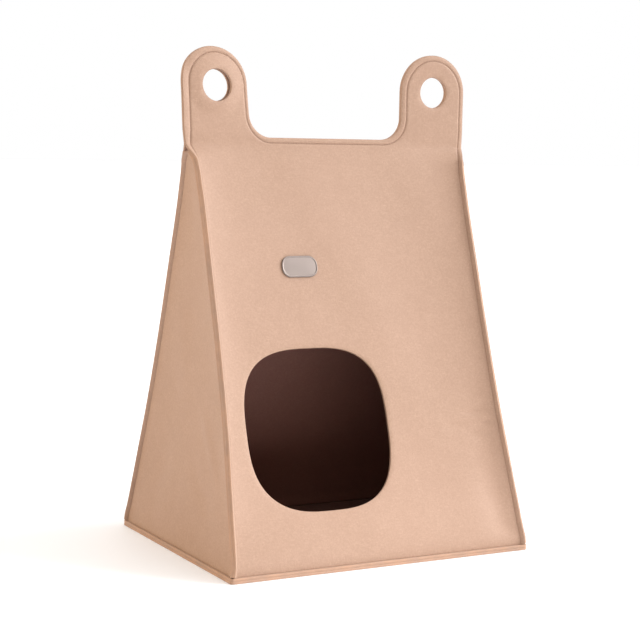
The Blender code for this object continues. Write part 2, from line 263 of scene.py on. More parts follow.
# Light and floor
SKY_COLOUR = (0.19, 0.165, 0.14, 1.0)
BACKGROUND_COLOUR = (1.0, 1.0, 1.0, 1.0)
LAMPS = (
    # name, direction it comes from, strength, spread in degrees, colour
    ("key", (0.86, -0.44, 0.42), 3.8, 40, (1.0, 1.0, 1.0)),
    ("top", (0.10, -0.10, 1.00), 1.8, 60, (1.0, 1.0, 1.0)),
    ("front", (-0.50, -0.80, 0.35), 0.50, 60, (1.0, 0.93, 0.82)),
    ("fill", (-0.78, 0.58, 0.22), 1.9, 50, (1.0, 0.72, 0.42)),
    ("rear", (0.12, 0.88, 0.34), 1.3, 60, (1.0, 0.97, 0.93)),
)
LOW_LAMP_PLACE = (0.02, -0.46, 0.035)
LOW_LAMP_AIM = (0.02, -0.15, 0.02)
LOW_LAMP_SIZE = (0.3, 0.04)
LOW_LAMP_POWER = 0.30
FLOOR_SIZE = 60
FLOOR_GRAIN = 300.0                 # features for each metre
FLOOR_DARK = (0.87, 0.90, 0.94, 1.0)
FLOOR_LIGHT = (0.89, 0.92, 0.96, 1.0)
FLOOR_GLOW_COLOUR = (0.9, 0.95, 1.0, 1.0)
FLOOR_GLOW = 0.10


# Shape of the house, for arrays of points ------------------------------------------------------

def between(value, low, high):
    """Rise smoothly from 0 at low to 1 at high."""
    share = np.clip((value - low) / (high - low), 0.0, 1.0)
    return share * share * (3 - 2 * share)


def read_table(height, rows):
    """Read a table of heights and values along a smooth curve."""
    at, values = (np.array(column) for column in zip(*rows))
    slopes = np.gradient(values, at)
    n = np.clip(np.searchsorted(at, height) - 1, 0, len(at) - 2)
    step = at[n + 1] - at[n]
    t = np.clip((height - at[n]) / step, 0.0, 1.0)
    start = (1 + 2 * t) * (1 - t) ** 2 * values[n] + t * (1 - t) ** 2 * step * slopes[n]
    end = t * t * (3 - 2 * t) * values[n + 1] - t * t * (1 - t) * step * slopes[n + 1]
    return start + end


def half_width(height):
    """Half of the width at the corner seams."""
    return read_table(height, CORNER_SEAM)


def straight_depth(height):
    """Half of the depth at the corner seams if the walls leaned straight on."""
    foot = BASE_DEPTH / 2 - BASE_ALLOWANCE - LAYER_STEP / 2 * math.cos(CORNER_TURN)
    return foot - WALL_SLOPE * np.maximum(height - FOOT_HEIGHT, 0.0)


def half_depth(height):
    """Half of the depth at the corner seams, which close over the shoulder."""
    share = np.clip((height - SHOULDER_HEIGHT) / (RIDGE_HEIGHT - SHOULDER_HEIGHT), 0.0, 1.0)
    return straight_depth(height) * (1 - share**SHOULDER_POWER)


def middle_depth(height):
    """Distance from the ridge's plane to the middle of a panel."""
    sunk = PANEL_HOLLOW * between(height, CREASE_HEIGHT, HOLLOW_FOOT)
    leaning = straight_depth(height) + LAYER_STEP / 2 * math.cos(CORNER_TURN) - sunk
    top = straight_depth(HOLLOW_TOP) + LAYER_STEP / 2 * math.cos(CORNER_TURN) - PANEL_HOLLOW
    slope = (top - LAYER_STEP / 2) / (RIDGE_HEIGHT - HOLLOW_TOP)
    rise = slope * (RIDGE_HEIGHT - height) / RIDGE_ROUNDING
    closing = LAYER_STEP / 2 + RIDGE_ROUNDING * np.logaddexp(0.0, rise)
    return np.where(height > HOLLOW_TOP, closing, leaning)


def corner_turn(height):
    """Angle between the corner allowances and the panels' plane."""
    turn = CORNER_TURN + CORNER_FORWARD * between(height, FORWARD_LOW, FORWARD_HIGH)
    return turn * (1 - between(height, SHOULDER_HEIGHT, RIDGE_HEIGHT))


def panel_crease(height):
    """Distance from the middle at which a panel's corner allowance starts."""
    return half_width(height) - LAYER_STEP / 2 * np.sin(corner_turn(height))


def gusset_crease(height):
    """Distance from the middle at which a gusset's corner allowance starts."""
    ease = GUSSET_EASE * between(height, GUSSET_EASE_START, GUSSET_TOP)
    return half_depth(height) - LAYER_STEP / 2 * np.cos(corner_turn(height)) - ease


def inwardness(across, crease):
    """0 at the creases of a wall, and nearly 1 in the middle between them."""
    return 1 - np.exp(-np.maximum(crease - np.abs(across), 0.0) / HOLLOW_REACH)


def folds(rows, across, up, crease):
    """How far the soft folds of a wall stand out, fading towards its seams."""
    height = np.zeros_like(across)
    for middle, level, length, width, depth, tilt in rows:
        cosine, sine = math.cos(math.radians(tilt)), math.sin(math.radians(tilt))
        along = (across - middle) * cosine + (up - level) * sine
        aside = (up - level) * cosine - (across - middle) * sine
        height += depth * np.exp(-((aside / width) ** 2) - (2 * along / length) ** 4)
    for depth, wave_across, wave_up, phase in WAVES:
        height += depth * np.sin(math.tau * (across * wave_across + up * wave_up) + phase)
    fade = between(crease - np.abs(across), 0.0, FOLDS_FADE)
    fade = fade * between(up, FOOT_HEIGHT / 2, FOLDS_START)
    return height * fade * (1 - between(up, RIDGE_HEIGHT, TOP_EDGE))


def folded(past, turn):
    """How far on and how far out a point lies that is past a fold by this much."""
    bend = np.clip(past + FOLD, 0.0, 2 * FOLD)
    turned = bend * bend / (4 * FOLD) + np.maximum(past - FOLD, 0.0)
    return past - (1 - np.cos(turn)) * turned, np.sin(turn) * turned


def off_the_base(up):
    """0 in the allowances that lie flat on the base, and 1 above them."""
    return between(up, CREASE_HEIGHT - FLANGE_LIFT, FLANGE_START)


def ear(side):
    """Middle, radius and centre height of an ear's round head."""
    outer = CORNER_SEAM[-1][1] + ALLOWANCE + EAR_SPREAD[side]
    inner = EAR_INNER_EDGE[side]
    radius = (outer - inner) / 2
    return side * (outer + inner) / 2, radius, EAR_TOP - radius


def left_ear_shift(face, across, up):
    """How far back the left ear's lean, twist and puff carry a point of its cut."""
    middle, radius, centre = ear(-1)
    share = between(-across, -middle - radius - EAR_FILLET, -middle - radius)
    rise = np.maximum(up - TOP_EDGE, 0.0)
    lean = rise * math.tan(LEFT_LEAN)
    twist = (across - middle) * math.tan(LEFT_TWIST) * between(up, TOP_EDGE, centre)
    off_centre = np.hypot(across - middle, up - centre) / (radius - ALLOWANCE)
    puff = face * LEFT_PUFF * np.maximum(1 - off_centre * off_centre, 0.0)
    return (lean + twist + puff) * share


def left_edge_turn(across, up):
    """Turn of the left ear's outer allowance, on both layers."""
    fade = 1 - between(up, EDGE_TURN_LOW, EDGE_TURN_HIGH)
    share = between(up, SHOULDER_HEIGHT, RIDGE_HEIGHT) * fade
    return LEFT_EDGE_TURN * share * (across < 0)


def place_panel(face, across, up):
    """Place points of a panel's cut. The front has face -1 and the back 1."""
    fallen, foot = folded(CREASE_HEIGHT - up, math.pi / 2)
    height = CREASE_HEIGHT - fallen
    side = np.where(across < 0, -1.0, 1.0)
    turn = corner_turn(height)
    crease = panel_crease(height)
    past, out = folded(np.abs(across) - crease, turn * off_the_base(up))
    corner = half_depth(height) + LAYER_STEP / 2 * np.cos(turn)
    depth = corner + (middle_depth(height) - corner) * inwardness(across, crease)
    depth += folds(FRONT_FOLDS if face < 0 else BACK_FOLDS, across, up, crease)
    y = face * (depth + out + foot) + left_ear_shift(face, across, up)
    turned, forward = folded(np.abs(across) - crease, left_edge_turn(across, up))
    past += turned - (np.abs(across) - crease)
    return np.stack((side * (crease + past), y - forward, height), axis=-1)


def place_gusset(side, across, up):
    """Place points of a gusset's cut. The left one has side -1 and the right one 1."""
    fallen, foot = folded(CREASE_HEIGHT - up, math.pi / 2)
    height = CREASE_HEIGHT - fallen
    turn = corner_turn(height)
    crease = gusset_crease(height)
    past, out = folded(np.abs(across) - crease, (math.pi / 2 - turn) * off_the_base(up))
    sunk = GUSSET_HOLLOW * between(height, CREASE_HEIGHT, HOLLOW_FOOT)
    sunk *= 1 - between(height, HOLLOW_TOP, RIDGE_HEIGHT)
    x = half_width(height) + LAYER_STEP / 2 * np.sin(turn)
    x += out + foot - sunk * inwardness(across, crease)
    x += folds(LEFT_FOLDS if side < 0 else RIGHT_FOLDS, across, up, crease)
    y = np.where(across < 0, -1.0, 1.0) * (crease + past)
    return np.stack((side * x, y, height), axis=-1)


def place_base(across, up):
    """Place points of the base's cut."""
    return np.stack((across, up, np.full_like(across, FELT / 2)), axis=-1)


# Outlines of the cut pieces --------------------------------------------------------------------

def arc(centre, radius, start, end, step=ARC_STEP):
    """Points of a round edge, with both ends."""
    angles = np.linspace(start, end, max(2, round(abs(end - start) / step)) + 1)
    return np.stack((centre[0] + radius * np.cos(angles), centre[1] + radius * np.sin(angles)), -1)


def mirrored(points):
    """The same points on the other side of the middle, in the opposite order."""
    return points[::-1] * (-1, 1)


def subdivided(start, end):
    """Points of a straight edge, without its ends."""
    count = max(1, round(math.dist(start, end) / EDGE_STEP))
    shares = np.arange(1, count)[:, None] / count
    return np.array(start) + (np.array(end) - np.array(start)) * shares


def corner_edge(crease_at, top):
    """Raw edge of a corner allowance, upwards from its foot."""
    straight = np.arange(FLANGE_START + ALLOWANCE / 5, SHOULDER_HEIGHT - EDGE_STEP, EDGE_STEP)
    turning = np.linspace(SHOULDER_HEIGHT, top, round((top - SHOULDER_HEIGHT) / SHOULDER_STEP) + 1)
    heights = np.append(straight, turning)
    return np.stack((crease_at(heights) + ALLOWANCE, heights), -1)


def foot_corner(crease_at, base_half):
    """Right end of the allowance on the base, mitred and rounded like the base's corner."""
    crease = float(crease_at(np.float64(CREASE_HEIGHT)))
    low = CREASE_HEIGHT - BASE_ALLOWANCE
    centre = (base_half - BASE_CORNER, low + BASE_CORNER)
    round_end = arc(centre, BASE_CORNER, -math.pi / 2, -math.pi / 4, FOOT_ARC_STEP)
    start = float(crease_at(np.float64(FLANGE_START)))
    mitre = [
        (crease + MITRE_START, CREASE_HEIGHT - MITRE_DROP),
        (crease + MITRE_START - MITRE_DRAW, (CREASE_HEIGHT + FLANGE_START) / 2),
        (start + FLANGE_HEEL, FLANGE_START),
        (start + ALLOWANCE - FLANGE_CHAMFER, FLANGE_START),
    ]
    return np.vstack((round_end - (MITRE_GAP, 0), mitre))


def ear_edge(side):
    """Raw edge of an ear from its outer side to the top edge, drawn on the right side."""
    middle, radius, centre = ear(side)
    middle = abs(middle)
    outer = (middle + radius - EAR_SPREAD[side] / 4, RIDGE_HEIGHT + EAR_SPREAD_HEIGHT)
    head = arc((middle, centre), radius, 0, math.pi)
    fillet = arc((middle - radius - EAR_FILLET, TOP_EDGE + EAR_FILLET), EAR_FILLET, 0, -math.pi / 2)
    return np.vstack((subdivided(outer, head[0]), head, subdivided(head[-1], fillet[0]), fillet))


def panel_cut():
    """Raw edge of a panel, once around, and the stretches of it that are sewn."""
    corner = corner_edge(panel_crease, RIDGE_HEIGHT)
    right_ear = ear_edge(1)
    left_ear = mirrored(ear_edge(-1))
    top = subdivided(right_ear[-1], left_ear[0])
    sewn = np.vstack((corner, right_ear, top, left_ear, mirrored(corner)))
    foot = foot_corner(panel_crease, BASE_WIDTH / 2)
    bottom = subdivided(mirrored(foot)[-1], foot[0])
    return np.vstack((foot, sewn, mirrored(foot), bottom)), [sewn]


def gusset_cut():
    """Raw edge of a gusset, once around, and the stretches of it that are sewn."""
    corner = corner_edge(gusset_crease, GUSSET_TOP - GUSSET_TAPER)
    crease = float(gusset_crease(np.float64(GUSSET_TOP)))
    stops = [corner[-1], (crease, GUSSET_TOP), (-crease, GUSSET_TOP), mirrored(corner)[0]]
    top = np.vstack([[*subdivided(a, b), b] for a, b in zip(stops, stops[1:])])[:-1]
    foot = foot_corner(gusset_crease, BASE_DEPTH / 2)
    bottom = subdivided(mirrored(foot)[-1], foot[0])
    outline = np.vstack((foot, corner, top, mirrored(corner), mirrored(foot), bottom))
    return outline, [corner, mirrored(corner)]


def rounded_rectangle(width, height, radius, step):
    """Corners of a rectangle as arcs, once around."""
    x = width / 2 - radius
    y = height / 2 - radius
    quarter = math.pi / 2
    middles = ((x, y), (-x, y), (-x, -y), (x, -y))
    return [arc(c, radius, n * quarter, (n + 1) * quarter, step) for n, c in enumerate(middles)]


def base_cut():
    """Raw edge of the base, once around."""
    corners = rounded_rectangle(BASE_WIDTH, BASE_DEPTH, BASE_CORNER, BASE_ARC_STEP)
    edges = [subdivided(a[-1], b[0]) for a, b in zip(corners, corners[1:] + corners[:1])]
    return np.vstack([points for pair in zip(corners, edges) for points in pair])


def doorway():
    """Edge of the doorway."""
    angles = np.linspace(0, math.tau, DOOR_STEPS, endpoint=False)
    low_left = (angles > math.pi) & (angles < 1.5 * math.pi)
    power = 2 / np.where(low_left, DOOR_LOW_LEFT, DOOR_SQUARENESS)
    x, y = (np.sign(v) * np.abs(v) ** power for v in (np.cos(angles), np.sin(angles)))
    return np.stack((DOOR_MIDDLE + DOOR_HALF_WIDTH * x, DOOR_HEIGHT + DOOR_HALF_RISE * y), -1)


def ear_hole(side):
    """Edge of the hole in an ear."""
    middle, _, centre = ear(side)
    across, up = HOLE_SHIFT[side]
    return arc((middle + across, centre + up), EAR_HOLE, 0, math.tau, math.tau / HOLE_STEPS)[:-1]


# Cutting ---------------------------------------------------------------------------------------

def inset(path, distance, closed):
    """A path moved to its left, which is inward for an outline that runs anticlockwise."""
    if closed:
        before = np.roll(path, 1, axis=0)
        after = np.roll(path, -1, axis=0)
    else:
        before = np.vstack((path[:1], path[:-1]))
        after = np.vstack((path[1:], path[-1:]))
    normals = []
    for a, b in ((before, path), (path, after)):
        along = b - a
        length = np.linalg.norm(along, axis=1, keepdims=True)
        along = along / np.where(length == 0, 1, length)
        normals.append(np.stack((-along[:, 1], along[:, 0]), -1))
    first, second = normals
    if not closed:
        first[0] = second[0]
        second[-1] = first[-1]
    both = first + second
    share = 2 / np.maximum((both * both).sum(axis=1, keepdims=True), MITRE_LIMIT)
    return path + both * share * distance


def sewn_line(path, distance):
    """A line along a sewn edge, which drifts on the ears and along the top."""
    line = inset(path, distance, False)
    rise = between(line[:, 1], RIDGE_HEIGHT - EDGE_STEP, TOP_EDGE)
    shoulder = CORNER_SEAM[-1][1]
    drift = SEAM_DRIFT[0] * between(-line[:, 0], -shoulder, -EAR_INNER_EDGE[1])
    drift += LEFT_EAR_DRIFT * between(-line[:, 0], EAR_INNER_EDGE[-1], shoulder)
    return line + np.stack((drift * rise, SEAM_DRIFT[1] * rise), -1)


def is_inside(points, loop):
    """Which points lie inside a closed loop."""
    inside = np.zeros(len(points), bool)
    x, y = points[:, 0], points[:, 1]
    for (ax, ay), (bx, by) in zip(loop, np.roll(loop, -1, axis=0)):
        if ay != by:
            crosses = (ay > y) != (by > y)
            inside ^= crosses & (x < ax + (y - ay) * (bx - ax) / (by - ay))
    return inside


def distance_to(points, path, closed):
    """Distance of every point from a path."""
    ends = np.roll(path, -1, axis=0) if closed else path[1:]
    nearest = np.full(len(points), FAR)
    for a, b in zip(path, ends):
        along = b - a
        offset = points - a
        share = np.clip(offset @ along / max(along @ along, TINY), 0.0, 1.0)
        nearest = np.minimum(nearest, np.hypot(*(offset - share[:, None] * along).T))
    return nearest


def cut_flat(loops, rows, spacing):
    """Triangulate a cut piece: its edges, its rows and a grid of free points between them."""
    outline, *openings = loops
    lines = [(np.array(loop), True) for loop in loops]
    lines += [(inset(loop, depth, True), True) for loop in loops for depth in RIM_ROWS]
    lines += [(row, False) for row in rows]
    low, high = outline.min(axis=0), outline.max(axis=0)
    xs = np.arange(low[0], high[0], spacing)
    ys = np.arange(low[1], high[1], spacing * math.sqrt(3) / 2)
    grid = np.array([(x + spacing / 2 * (n % 2), y) for n, y in enumerate(ys) for x in xs])
    keep = is_inside(grid, outline)
    for loop in openings:
        keep &= ~is_inside(grid, loop)
    grid = grid[keep]
    for line, closed in lines:
        grid = grid[distance_to(grid, line, closed) > ROOM]

    points = np.vstack([line for line, _ in lines] + [grid])
    edges = []
    first = 0
    for line, closed in lines:
        numbers = list(range(first, first + len(line)))
        edges += list(zip(numbers, numbers[1:]))
        if closed:
            edges.append((numbers[-1], numbers[0]))
        first += len(line)
    corners, _, triangles, *_ = delaunay_2d_cdt([Vector(p) for p in points], edges, [], 0, WELD)
    corners = np.array([tuple(c) for c in corners])
    triangles = np.array(triangles)
    a, b, c = (corners[triangles[:, n]] for n in range(3))
    area = ((b - a)[:, 0] * (c - a)[:, 1] - (b - a)[:, 1] * (c - a)[:, 0]) / 2
    middles = (a + b + c) / 3
    keep = (area > SLIVER) & is_inside(middles, outline)
    for loop in openings:
        keep &= ~is_inside(middles, loop)
    return corners, triangles[keep]


# Felt ------------------------------------------------------------------------------------------

def surface(place, points, flip):
    """Placed points of a cut and the directions that face outward there."""
    across, up = points[:, 0], points[:, 1]
    along = place(across + PROBE, up) - place(across - PROBE, up)
    upward = place(across, up + PROBE) - place(across, up - PROBE)
    normals = np.cross(along, upward) * (-1 if flip else 1)
    normals /= np.linalg.norm(normals, axis=1, keepdims=True)
    return place(across, up), normals


def rounded_off(edge, radius):
    """How far a rounded raw edge falls away at these distances from it."""
    past = np.clip(radius - edge, 0.0, radius)
    return radius - np.sqrt(radius**2 - past**2)


def relief(edge, press, outside, drop):
    """Distances of the outer and the inner face from the middle of the felt."""
    outer = FELT / 2 - rounded_off(edge, RIM_ROUNDING) - GROOVE_DEPTH * press - drop
    free = FELT / 2 - rounded_off(edge, RIM_ROUNDING)
    joined = FELT / 2 + LAYER_CLOSING - rounded_off(edge, INNER_ROUNDING)
    return outer, np.where(outside > 0, joined, free)


def length_along(place, across, low, high):
    """Length of a line up a placed piece."""
    up = np.linspace(low, high, LENGTH_STEPS)
    line = place(np.full_like(up, across), up)
    return float(np.linalg.norm(np.diff(line, axis=0), axis=1).sum())


def flat_size(outline, place):
    """Width of a cut piece, and its length up to its highest point, measured as placed."""
    low, high = outline.min(axis=0), outline.max(axis=0)
    highest = float(outline[outline[:, 1].argmax(), 0])
    return float(high[0] - low[0]), length_along(place, highest, low[1], high[1])


def double_faces(triangles, count, flip):
    """Faces of the outer side, of the inner side, and of the raw edges between them."""
    if flip:
        triangles = triangles[:, ::-1]
    sides = np.vstack([triangles[:, pair] for pair in ((0, 1), (1, 2), (2, 0))])
    known = {tuple(side) for side in sides.tolist()}
    rim = [(start, end) for start, end in known if (end, start) not in known]
    faces = triangles.tolist() + (triangles[:, ::-1] + count).tolist()
    return faces + [(end, start, start + count, end + count) for start, end in sorted(rim)]


def drop_loose_points(data):
    """Delete the points of a mesh that no face uses."""
    mesh = bmesh.new()
    mesh.from_mesh(data)
    loose = [vert for vert in mesh.verts if not vert.link_faces]
    bmesh.ops.delete(mesh, geom=loose, context="VERTS")
    mesh.to_mesh(data)
    mesh.free()


def felt_piece(name, loops, rows, seams, inset_of_seam, place, flip, material, spacing):
    """Make one piece of felt: cut it, place it and give it its thickness."""
    corners, triangles = cut_flat(loops, rows, spacing)
    edge = np.min([distance_to(corners, loop, True) for loop in loops], axis=0)
    seam = np.min([distance_to(corners, line, closed) for line, closed in seams], axis=0)
    above = between(corners[:, 1], SHOULDER_HEIGHT, RIDGE_HEIGHT)
    force = CORNER_PRESS + (1 - CORNER_PRESS) * above
    press = force * np.exp(-((seam / GROOVE_WIDTH) ** 2))
    sewn_in = is_inside(corners, np.vstack([line for line, _ in seams]))
    outside = seam / (edge + seam) * ~sewn_in * (edge + seam < inset_of_seam + SEAM_SLACK)
    middle, normals = surface(place, corners, flip)
    outer, inner = relief(edge, press, outside, STRIP_DROP * outside * above)
    verts = np.vstack((middle + normals * outer[:, None], middle - normals * inner[:, None]))
    first, second, third = (middle[triangles[:, n]] for n in range(3))
    area = float(np.linalg.norm(np.cross(second - first, third - first), axis=1).sum() / 2)

    count = len(corners)
    data = bpy.data.meshes.new(name)
    data.from_pydata(verts.tolist(), [], double_faces(triangles, count, flip))
    data.shade_smooth()
    labels = {
        "edge": np.tile(edge, 2),
        "press": np.tile(press, 2),
        # where the raw edges below the shoulders take their lighter copy, which is painted light
        "lit_low_cut": np.tile(outside * (1 - above), 2),
        # inside: where painted shade darkens the inner faces, growing from the raw edges
        "inside": np.append(np.zeros(count), between(edge, 0.0, INSIDE_SHADE_FADE)),
    }
    for label, values in labels.items():
        attribute = data.attributes.new(label, "FLOAT", "POINT")
        attribute.data.foreach_set("value", values.astype(np.float32))
    on_the_cut = np.tile(corners, (2, 1))
    layer = data.uv_layers.new(name="cut")
    loop_verts = np.empty(len(data.loops), np.int32)
    data.loops.foreach_get("vertex_index", loop_verts)
    layer.data.foreach_set("uv", on_the_cut[loop_verts].astype(np.float32).ravel())
    drop_loose_points(data)
    return soft_object(name, data, material), flat_size(loops[0], place), area


def soft_object(name, data, material):
    """Put a mesh of felt or thread into the scene."""
    data.materials.append(material)
    piece = bpy.data.objects.new(name, data)
    bpy.context.scene.collection.objects.link(piece)
    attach(piece, "root")
    return piece


def stitches(name, seams, place, flip, material):
    """One row of stitches along every seam of a piece, on its outer face."""
    verts = []
    faces = []
    rings = len(STITCH_PROFILE)
    for path, closed in seams:
        line = np.vstack((path, path[:1])) if closed else path
        lengths = np.append(0, np.cumsum(np.hypot(*np.diff(line, axis=0).T)))
        count = int(lengths[-1] / STITCH_PITCH)
        starts = (np.arange(count) + 0.5) * lengths[-1] / count
        spots = []
        for share, _ in STITCH_PROFILE:
            at = starts + share * STITCH_LENGTH
            flat = np.stack([np.interp(at, lengths, line[:, n]) for n in (0, 1)], -1)
            spots.append(surface(place, flat, flip))
        for n in range(count):
            first = len(verts)
            ahead = spots[-1][0][n] - spots[0][0][n]
            ahead /= np.linalg.norm(ahead)
            for (points, normals), (_, swell) in zip(spots, STITCH_PROFILE):
                normal = normals[n]
                lift = FELT / 2 - GROOVE_DEPTH + THREAD_RADIUS * (swell - STITCH_SUNK)
                centre = points[n] + normal * lift
                aside = np.cross(normal, ahead)
                radius = THREAD_RADIUS * (STITCH_THIN + (1 - STITCH_THIN) * swell)
                for k in range(STITCH_SIDES):
                    angle = math.tau * k / STITCH_SIDES
                    around = math.cos(angle) * aside + math.sin(angle) * normal
                    verts.append(centre + radius * around)
            for ring in range(rings - 1):
                for k in range(STITCH_SIDES):
                    low = first + ring * STITCH_SIDES + k
                    after = first + ring * STITCH_SIDES + (k + 1) % STITCH_SIDES
                    faces.append((low, after, after + STITCH_SIDES, low + STITCH_SIDES))
            faces.append(tuple(first + k for k in reversed(range(STITCH_SIDES))))
            last = first + (rings - 1) * STITCH_SIDES
            faces.append(tuple(last + k for k in range(STITCH_SIDES)))
    data = bpy.data.meshes.new(name)
    data.from_pydata([tuple(vert) for vert in verts], [], faces)
    data.shade_smooth()
    return soft_object(name, data, material)


def foot_rows(crease_at):
    """Rows along the allowance on the base, and the line of its stitches."""
    reach = float(crease_at(np.float64(CREASE_HEIGHT))) + FOOT_ROW_END
    low = CREASE_HEIGHT - BASE_ALLOWANCE
    rows = []
    for depth in BASE_SEAM_ROWS:
        height = low + BASE_SEAM_INSET + depth
        ends = ((-reach, height), (reach, height))
        rows.append(np.vstack(([ends[0]], subdivided(*ends), [ends[1]])))
    return rows, rows[BASE_SEAM_ROWS.index(0.0)]


def make_wall(name, node, cut, openings, crease_at, place, flip, felt, thread):
    """Make a panel or a gusset with its stitches."""
    outline, sewn = cut
    rows = [sewn_line(path, SEAM_INSET + depth) for path in sewn for depth in SEAM_ROWS]
    seams = [(sewn_line(path, SEAM_INSET), False) for path in sewn]
    on_base, foot_seam = foot_rows(crease_at)
    all_seams = seams + [(foot_seam, False)]
    piece, flat, area = felt_piece(
        f"{name}_felt", [outline, *openings], rows + on_base, all_seams, SEAM_INSET, place, flip,
        felt, GRID,
    )
    sewing = stitches(f"thread_{name}", all_seams, place, flip, thread)
    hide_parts(node)


def make_base(felt, thread):
    """Make the base with its stitches on the underside."""
    outline = base_cut()
    rows = [inset(outline, BASE_SEAM_INSET + depth, True) for depth in BASE_SEAM_ROWS]
    rows = [np.vstack((row, row[:1])) for row in rows]
    seams = [(inset(outline, BASE_SEAM_INSET, True), True)]
    piece, flat, area = felt_piece(
        "base_felt", [outline], rows, seams, BASE_SEAM_INSET, place_base, True, felt, BASE_GRID
    )
    sewing = stitches("thread_base", seams, place_base, True, thread)
    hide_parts("base_panel")


# Badge -----------------------------------------------------------------------------------------

def make_badge(material):
    """Make the badge: a blank plate with a raised rim, which leans with the front."""
    mesh = bmesh.new()
    rings = []
    for depth, height in BADGE_PROFILE:
        width = BADGE_WIDTH - 2 * depth
        rise = BADGE_RISE - 2 * depth
        arcs = rounded_rectangle(width, rise, BADGE_CORNER - depth, BADGE_ARC_STEP)
        rings.append([mesh.verts.new((x, y, height)) for x, y in np.vstack(arcs)])
    for low, high in zip(rings, rings[1:]):
        for n, vert in enumerate(low):
            after = (n + 1) % len(low)
            mesh.faces.new((vert, low[after], high[after], high[n]))
    mesh.faces.new(reversed(rings[0]))
    mesh.faces.new(rings[-1])
    data = bpy.data.meshes.new("badge")
    mesh.to_mesh(data)
    mesh.free()
    data.shade_smooth()
    data.set_sharp_from_angle(angle=BADGE_SHARP)
    data.materials.append(material)

    lean = math.atan(WALL_SLOPE)
    spot = np.array([BADGE_MIDDLE]), np.array([BADGE_HEIGHT])
    seat = Vector(place_panel(-1, *spot)[0])
    outward = Vector((0, -math.cos(lean), math.sin(lean)))
    badge = bpy.data.objects.new("badge", data)
    badge.location = seat + outward * (FELT / 2 + BADGE_SEAT)
    badge.rotation_euler = (math.pi / 2 - lean, 0, 0)
    bpy.context.scene.collection.objects.link(badge)
    bpy.context.view_layer.update()
    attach(badge, "root")
    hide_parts("badge_plate")


# Materials -------------------------------------------------------------------------------------

class Nodes:
    """Short calls for one material's nodes."""

    def __init__(self, name):
        self.material = bpy.data.materials.new(name)
        self.material.use_nodes = True
        self.tree = self.material.node_tree
        self.shader = self.tree.nodes["Principled BSDF"]

    def add(self, kind, settings=None, **inputs):
        """Add a node. An input is a value or another node's output, named or by number as _0."""
        node = self.tree.nodes.new(kind)
        for key, value in (settings or {}).items():
            setattr(node, key, value)
        for key, value in inputs.items():
            name = int(key[1:]) if key[0] == "_" else key.replace("_", " ")
            socket = node.inputs[name]
            if isinstance(value, bpy.types.NodeSocket):
                self.tree.links.new(value, socket)
            else:
                socket.default_value = value
        return node

    def mix(self, factor, first, second, blend="MIX"):
        """Mix two colours."""
        settings = {"data_type": "RGBA", "blend_type": blend}
        return self.add("ShaderNodeMix", settings, _0=factor, _6=first, _7=second).outputs[2]

    def noise(self, vector, scale, detail=3.0, roughness=0.5):
        """Noise with a scale in features for each metre."""
        node = self.add(
            "ShaderNodeTexNoise", Vector=vector, Scale=scale, Detail=detail, Roughness=roughness
        )
        return node.outputs["Fac"]

    def ramp(self, value, low, high, start=0.0, end=1.0):
        """Rise smoothly from start at low to end at high."""
        node = self.add(
            "ShaderNodeMapRange",
            {"interpolation_type": "SMOOTHSTEP"},
            Value=value, From_Min=low, From_Max=high, To_Min=start, To_Max=end,
        )
        return node.outputs["Result"]

    def math(self, operation, first, second=0.0):
        """One sum of two numbers."""
        return self.add("ShaderNodeMath", {"operation": operation}, _0=first, _1=second).outputs[0]

    def value(self, name):
        """A number stored on the mesh."""
        return self.add("ShaderNodeAttribute", {"attribute_name": name}).outputs["Fac"]

    def connect(self, output, socket):
        """Link an output to one of the shader's inputs."""
        self.tree.links.new(output, self.shader.inputs[socket])


# Colours
FELT_COLOUR = (0.396, 0.247, 0.172, 1.0)
FELT_LIGHT = (0.452, 0.290, 0.205, 1.0)
FELT_DARK = (0.345, 0.208, 0.141, 1.0)
FELT_WARM = (0.415, 0.254, 0.182, 1.0)
CUT_TONE_AND_SHADE = (0.32, 0.185, 0.12, 1.0)           # raw edges of the ears, the doorway and the top: their own tone, darkened further by painted shade
LOW_CUT_TONE_AND_LIGHT = (0.51, 0.292, 0.184, 1.0)      # raw edges at the corners and around the base: their own tone, lightened by painted light
INSIDE_SHADE_COLOUR = (0.60, 0.39, 0.44, 1.0)         # painted shade on the inner faces, times the felt's own colour
# painted shade in the pressed grooves of the seams
SEAM_SHADE_COLOUR = (0.20, 0.11, 0.07, 1.0)
THREAD_COLOUR = (0.30, 0.17, 0.11, 1.0)
THREAD_LIGHT = (0.42, 0.26, 0.18, 1.0)
METAL_DARK = (0.245, 0.205, 0.187, 1.0)
METAL_LIGHT = (0.30, 0.255, 0.237, 1.0)

# Grain, in features for each metre
FIBRE_SCALE = 1300.0
TUFT_SCALE = 420.0
CLOUD_SCALE = 60.0
BROAD_SCALE = 9.0
CUT_SCALE = 32.0
STRAND_SCALE = 2600.0
BRUSH_SCALE = 9000.0
BRUSH_STRETCH = (0.03, 1.0, 1.0)
FIBRE_LAYS = (
    # turn of the fibres, stretch of the noise along them
    ((0.3, 0.2, 0.4), (1.0, 0.12, 1.0)),
    ((1.1, 0.7, 2.0), (0.12, 1.0, 0.6)),
    ((0.6, 1.9, 1.1), (0.7, 1.0, 0.12)),
)

# Shares of what is mixed into the felt's colour, and reaches of its bumps
DARK_SHARE = 0.55
CLOUD_SHARE = 0.22
WARM_SHARE = 0.16
CUT_SHARE = 0.7
CUT_REACH = 0.0007                  # a raw edge's colour reaches this far in
SEAM_SHADE_SHARE = 0.6
INSIDE_SHADE_SHARE = 0.9
FELT_BUMP = {"Strength": 0.35, "Distance": 0.0005}
THREAD_BUMP = {"Strength": 0.4, "Distance": 0.0002}
METAL_BUMP = {"Strength": 0.08, "Distance": 0.0001}


